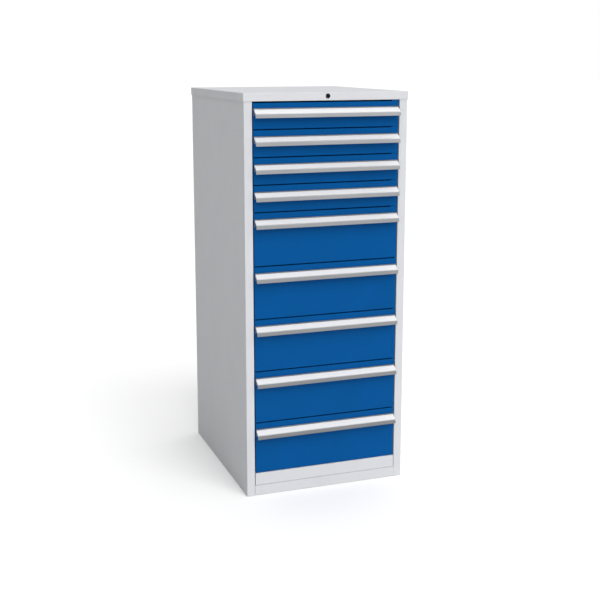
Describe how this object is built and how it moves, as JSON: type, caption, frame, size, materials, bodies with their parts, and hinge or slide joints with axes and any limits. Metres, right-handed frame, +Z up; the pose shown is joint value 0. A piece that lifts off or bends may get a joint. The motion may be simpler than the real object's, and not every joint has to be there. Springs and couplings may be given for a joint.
{
  "type": "drawer cabinet",
  "caption": "Tall floor-standing steel drawer cabinet for tools, with shallow drawers over deep ones, full-width handle strips and one central lock.",
  "frame": {"origin": "bottom centre of the bounding box, on the floor; the box includes the handles' reach in front of the posts", "axes": "+X to the right as seen from the front, +Y from the front to the back, +Z up; the drawers open towards -Y"},
  "size_m": [0.645, 0.7804, 1.52],
  "materials": {
    "housing_paint": "light grey powder coat, fine orange peel, satin",
    "drawer_paint": "blue powder coat, fine orange peel, satin",
    "handle_aluminium": "extruded and natural anodised, satin",
    "zinc_steel": "zinc plated",
    "lock_black": "black enamel",
    "lock_steel": "dark nickel plate"
  },
  "bodies": {
    "cabinet": {"side_wall_left": "housing_paint", "side_wall_right": "housing_paint", "back_panel": "housing_paint", "base_rail_front": "housing_paint", "base_rail_rear": "housing_paint", "floor_plate": "housing_paint", "blank_panel": "housing_paint", "top_cap": "housing_paint", "runner_rack_left": "zinc_steel", "runner_rack_right": "zinc_steel", "lock_barrel": "lock_black"},
    "lock_core": {"lock_core": "lock_steel", "lock_cam": "zinc_steel"},
    "lock_bar": {"lock_bar": "zinc_steel"},
    "drawer_1": {"drawer_1_front": "drawer_paint", "drawer_1_tray": "drawer_paint", "drawer_1_handle": "handle_aluminium"},
    "rails_1": {"rail_1_left": "zinc_steel", "rail_1_right": "zinc_steel"},
    "drawer_2": {"drawer_2_front": "drawer_paint", "drawer_2_tray": "drawer_paint", "drawer_2_handle": "handle_aluminium"},
    "rails_2": {"rail_2_left": "zinc_steel", "rail_2_right": "zinc_steel"},
    "drawer_3": {"drawer_3_front": "drawer_paint", "drawer_3_tray": "drawer_paint", "drawer_3_handle": "handle_aluminium"},
    "rails_3": {"rail_3_left": "zinc_steel", "rail_3_right": "zinc_steel"},
    "drawer_4": {"drawer_4_front": "drawer_paint", "drawer_4_tray": "drawer_paint", "drawer_4_handle": "handle_aluminium"},
    "rails_4": {"rail_4_left": "zinc_steel", "rail_4_right": "zinc_steel"},
    "drawer_5": {"drawer_5_front": "drawer_paint", "drawer_5_tray": "drawer_paint", "drawer_5_handle": "handle_aluminium"},
    "rails_5": {"rail_5_left": "zinc_steel", "rail_5_right": "zinc_steel"},
    "drawer_6": {"drawer_6_front": "drawer_paint", "drawer_6_tray": "drawer_paint", "drawer_6_handle": "handle_aluminium"},
    "rails_6": {"rail_6_left": "zinc_steel", "rail_6_right": "zinc_steel"},
    "drawer_7": {"drawer_7_front": "drawer_paint", "drawer_7_tray": "drawer_paint", "drawer_7_handle": "handle_aluminium"},
    "rails_7": {"rail_7_left": "zinc_steel", "rail_7_right": "zinc_steel"},
    "drawer_8": {"drawer_8_front": "drawer_paint", "drawer_8_tray": "drawer_paint", "drawer_8_handle": "handle_aluminium"},
    "rails_8": {"rail_8_left": "zinc_steel", "rail_8_right": "zinc_steel"},
    "drawer_9": {"drawer_9_front": "drawer_paint", "drawer_9_tray": "drawer_paint", "drawer_9_handle": "handle_aluminium"},
    "rails_9": {"rail_9_left": "zinc_steel", "rail_9_right": "zinc_steel"}
  },
  "joints": [
    {"name": "lock_turn", "type": "hinge", "parent": "cabinet", "child": "lock_core", "pos_m": [0, -0.36225, 1.506], "axis": [0, 1, 0], "range_deg": [0, 90]},
    {"name": "lock_bar_lift", "type": "slide", "parent": "cabinet", "child": "lock_bar", "axis": [0, 0, 1], "range_m": [0, 0.01]},
    {"name": "drawer_1_slide", "type": "slide", "parent": "cabinet", "child": "drawer_1", "axis": [0, -1, 0], "range_m": [0, 0.64]},
    {"name": "rails_1_slide", "type": "slide", "parent": "cabinet", "child": "rails_1", "axis": [0, -1, 0], "range_m": [0, 0.32]},
    {"name": "drawer_2_slide", "type": "slide", "parent": "cabinet", "child": "drawer_2", "axis": [0, -1, 0], "range_m": [0, 0.64]},
    {"name": "rails_2_slide", "type": "slide", "parent": "cabinet", "child": "rails_2", "axis": [0, -1, 0], "range_m": [0, 0.32]},
    {"name": "drawer_3_slide", "type": "slide", "parent": "cabinet", "child": "drawer_3", "axis": [0, -1, 0], "range_m": [0, 0.64]},
    {"name": "rails_3_slide", "type": "slide", "parent": "cabinet", "child": "rails_3", "axis": [0, -1, 0], "range_m": [0, 0.32]},
    {"name": "drawer_4_slide", "type": "slide", "parent": "cabinet", "child": "drawer_4", "axis": [0, -1, 0], "range_m": [0, 0.64]},
    {"name": "rails_4_slide", "type": "slide", "parent": "cabinet", "child": "rails_4", "axis": [0, -1, 0], "range_m": [0, 0.32]},
    {"name": "drawer_5_slide", "type": "slide", "parent": "cabinet", "child": "drawer_5", "axis": [0, -1, 0], "range_m": [0, 0.64]},
    {"name": "rails_5_slide", "type": "slide", "parent": "cabinet", "child": "rails_5", "axis": [0, -1, 0], "range_m": [0, 0.32]},
    {"name": "drawer_6_slide", "type": "slide", "parent": "cabinet", "child": "drawer_6", "axis": [0, -1, 0], "range_m": [0, 0.64]},
    {"name": "rails_6_slide", "type": "slide", "parent": "cabinet", "child": "rails_6", "axis": [0, -1, 0], "range_m": [0, 0.32]},
    {"name": "drawer_7_slide", "type": "slide", "parent": "cabinet", "child": "drawer_7", "axis": [0, -1, 0], "range_m": [0, 0.64]},
    {"name": "rails_7_slide", "type": "slide", "parent": "cabinet", "child": "rails_7", "axis": [0, -1, 0], "range_m": [0, 0.32]},
    {"name": "drawer_8_slide", "type": "slide", "parent": "cabinet", "child": "drawer_8", "axis": [0, -1, 0], "range_m": [0, 0.64]},
    {"name": "rails_8_slide", "type": "slide", "parent": "cabinet", "child": "rails_8", "axis": [0, -1, 0], "range_m": [0, 0.32]},
    {"name": "drawer_9_slide", "type": "slide", "parent": "cabinet", "child": "drawer_9", "axis": [0, -1, 0], "range_m": [0, 0.64]},
    {"name": "rails_9_slide", "type": "slide", "parent": "cabinet", "child": "rails_9", "axis": [0, -1, 0], "range_m": [0, 0.32]}
  ],
  "couplings": [
    {"joint": "lock_turn", "follows": "lock_bar_lift", "rad_per_m": 157.07},
    {"joint": "rails_1_slide", "follows": "drawer_1_slide", "ratio": 0.5},
    {"joint": "rails_2_slide", "follows": "drawer_2_slide", "ratio": 0.5},
    {"joint": "rails_3_slide", "follows": "drawer_3_slide", "ratio": 0.5},
    {"joint": "rails_4_slide", "follows": "drawer_4_slide", "ratio": 0.5},
    {"joint": "rails_5_slide", "follows": "drawer_5_slide", "ratio": 0.5},
    {"joint": "rails_6_slide", "follows": "drawer_6_slide", "ratio": 0.5},
    {"joint": "rails_7_slide", "follows": "drawer_7_slide", "ratio": 0.5},
    {"joint": "rails_8_slide", "follows": "drawer_8_slide", "ratio": 0.5},
    {"joint": "rails_9_slide", "follows": "drawer_9_slide", "ratio": 0.5}
  ]
}
